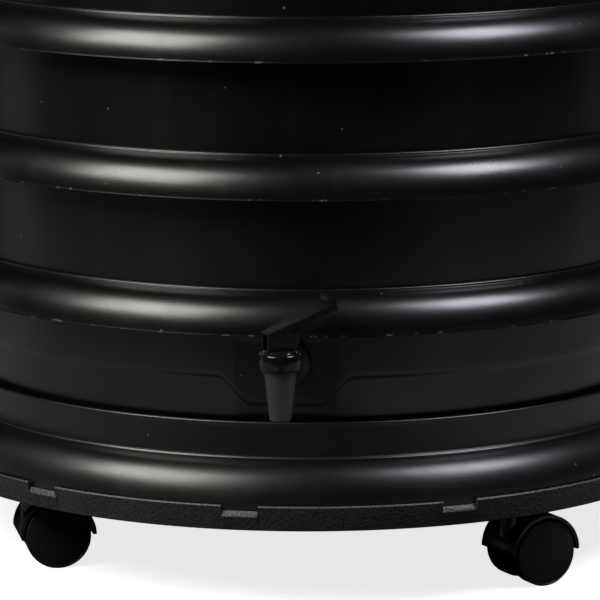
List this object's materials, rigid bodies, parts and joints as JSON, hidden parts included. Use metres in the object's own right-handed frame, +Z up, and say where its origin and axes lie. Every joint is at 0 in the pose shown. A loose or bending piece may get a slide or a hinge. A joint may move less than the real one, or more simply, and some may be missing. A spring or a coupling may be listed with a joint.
{
  "type": "compost tumbler",
  "caption": "Upright round composter drum of stacked ribbed rings on a castered base ring, with a lever tap for liquid, a drain grate and a hinged, vented lid.",
  "frame": {"origin": "on the floor, on the drum's vertical axis, which is the middle of the footprint", "axes": "+Z up along the drum's axis; the tap faces -Y and the lid's hinge is at +Y; +X to the right seen from the tap"},
  "size_m": [0.6292, 0.692, 0.9061],
  "materials": {
    "drum_plastic": "moulded black polyethylene, satin",
    "pan_plastic": "moulded black polyethylene, satin",
    "ring_plastic": "black polypropylene with a coarse moulded grain",
    "caster_plastic": "black nylon, semi-gloss",
    "wheel_plastic": "black nylon wheel, satin",
    "tap_grey": "dark grey polypropylene, matt",
    "tap_gloss": "black ABS, glossy",
    "natural_plastic": "natural acetal",
    "rubber": "black nitrile",
    "steel": "zinc plated steel"
  },
  "bodies": {
    "base": {"base_ring": "ring_plastic", "base_pan": "pan_plastic", "glide_ring": "natural_plastic", "pivot_stud": "steel", "pivot_nut": "steel", "caster_socket_1": "steel", "caster_socket_2": "steel", "caster_socket_3": "steel", "caster_socket_4": "steel"},
    "caster_1": {"caster_1_hood": "caster_plastic", "caster_1_stem": "steel"},
    "caster_1_wheels": {"caster_1_axle": "steel", "caster_1_wheel_a": "wheel_plastic", "caster_1_wheel_b": "wheel_plastic"},
    "caster_2": {"caster_2_hood": "caster_plastic", "caster_2_stem": "steel"},
    "caster_2_wheels": {"caster_2_axle": "steel", "caster_2_wheel_a": "wheel_plastic", "caster_2_wheel_b": "wheel_plastic"},
    "caster_3": {"caster_3_hood": "caster_plastic", "caster_3_stem": "steel"},
    "caster_3_wheels": {"caster_3_axle": "steel", "caster_3_wheel_a": "wheel_plastic", "caster_3_wheel_b": "wheel_plastic"},
    "caster_4": {"caster_4_hood": "caster_plastic", "caster_4_stem": "steel"},
    "caster_4_wheels": {"caster_4_axle": "steel", "caster_4_wheel_a": "wheel_plastic", "caster_4_wheel_b": "wheel_plastic"},
    "drum": {"sump": "drum_plastic", "ring_1": "drum_plastic", "ring_2": "drum_plastic", "ring_3": "drum_plastic", "ring_4": "drum_plastic", "ring_5": "drum_plastic", "ring_6": "drum_plastic", "drain_grate": "pan_plastic", "pivot_bush": "natural_plastic", "tap_body": "tap_grey", "tap_gasket": "rubber", "tap_nut": "tap_grey", "tap_bonnet": "tap_gloss", "tap_spring": "steel", "hinge_bracket": "ring_plastic", "hinge_pin": "steel"},
    "tap_stem": {"tap_stem": "natural_plastic", "tap_seal": "rubber", "tap_pin": "steel"},
    "tap_lever": {"tap_lever": "tap_gloss"},
    "lid": {"lid": "drum_plastic", "lid_handle": "drum_plastic", "vent_rivet": "natural_plastic"},
    "vent_disc": {"vent_disc": "drum_plastic"}
  },
  "joints": [
    {"name": "caster_1_swivel", "type": "hinge", "parent": "base", "child": "caster_1", "pos_m": [-0.20303, -0.16559, 0.06], "axis": [0, 0, 1], "continuous": true},
    {"name": "caster_1_roll", "type": "hinge", "parent": "caster_1", "child": "caster_1_wheels", "pos_m": [-0.18565, -0.16093, 0.02519], "axis": [-0.2588, 0.9659, 0], "continuous": true},
    {"name": "caster_2_swivel", "type": "hinge", "parent": "base", "child": "caster_2", "pos_m": [0.16559, -0.20303, 0.06], "axis": [0, 0, 1], "continuous": true},
    {"name": "caster_2_roll", "type": "hinge", "parent": "caster_2", "child": "caster_2_wheels", "pos_m": [0.18069, -0.19323, 0.02519], "axis": [-0.5446, 0.8387, 0], "continuous": true},
    {"name": "caster_3_swivel", "type": "hinge", "parent": "base", "child": "caster_3", "pos_m": [0.20303, 0.16559, 0.06], "axis": [0, 0, 1], "continuous": true},
    {"name": "caster_3_roll", "type": "hinge", "parent": "caster_3", "child": "caster_3_wheels", "pos_m": [0.18612, 0.17175, 0.02519], "axis": [-0.342, -0.9397, 0], "continuous": true},
    {"name": "caster_4_swivel", "type": "hinge", "parent": "base", "child": "caster_4", "pos_m": [-0.16559, 0.20303, 0.06], "axis": [0, 0, 1], "continuous": true},
    {"name": "caster_4_roll", "type": "hinge", "parent": "caster_4", "child": "caster_4_wheels", "pos_m": [-0.17175, 0.18612, 0.02519], "axis": [0.9397, -0.342, 0], "continuous": true},
    {"name": "drum_turn", "type": "hinge", "parent": "base", "child": "drum", "pos_m": [0, 0, 0.12], "axis": [0, 0, 1], "continuous": true},
    {"name": "tap_stem_lift", "type": "slide", "parent": "drum", "child": "tap_stem", "axis": [0, 0, 1], "range_m": [0, 0.0039], "stiffness_N_per_m": 60, "springref_m": -0.004, "deforming": ["tap_spring"]},
    {"name": "tap_lever_press", "type": "hinge", "parent": "tap_stem", "child": "tap_lever", "pos_m": [0, -0.336, 0.2134], "axis": [-0.4226, 0.9063, 0], "range_deg": [0, 22]},
    {"name": "lid_hinge", "type": "hinge", "parent": "drum", "child": "lid", "pos_m": [0, 0.332, 0.836], "axis": [-1, 0, 0], "range_deg": [0, 100]},
    {"name": "vent_turn", "type": "hinge", "parent": "lid", "child": "vent_disc", "pos_m": [0, 0, 0.894], "axis": [0, 0, 1], "range_deg": [0, 30]}
  ],
  "couplings": [
    {"joint": "tap_lever_press", "follows": "tap_stem_lift", "rad_per_m": 98.454}
  ]
}
